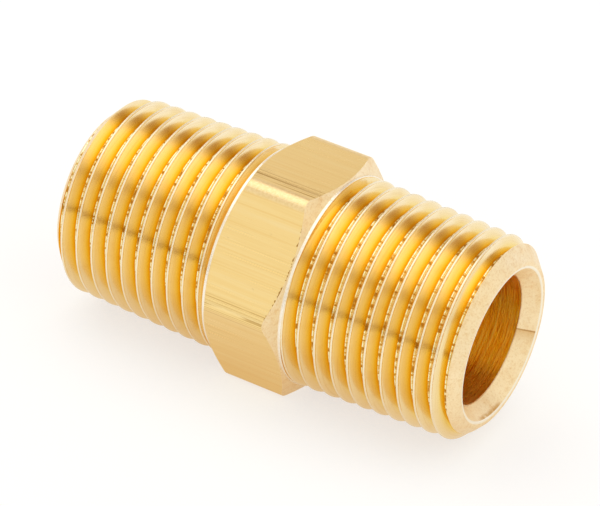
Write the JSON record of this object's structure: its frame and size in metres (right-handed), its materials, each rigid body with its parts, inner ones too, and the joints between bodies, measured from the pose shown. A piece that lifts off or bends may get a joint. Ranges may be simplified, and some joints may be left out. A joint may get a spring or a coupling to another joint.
{
  "type": "hex nipple",
  "caption": "Brass hex nipple: a solid pipe fitting with male taper threads on both ends, a wrench hexagon in the middle and a through bore.",
  "frame": {"origin": "centre of the hexagon, on the axis of the bore, midway between the two ends", "axes": "+X along the bore, towards the near end in the picture; +Z out of one flat of the hexagon; +Y out of one corner of the hexagon"},
  "size_m": [0.0462, 0.0252, 0.0222],
  "materials": {
    "brass": "as machined: bright threads, satin turned ends, drawn hexagon flats"
  },
  "bodies": {
    "root": {"nipple_body": "brass"}
  },
  "joints": []
}
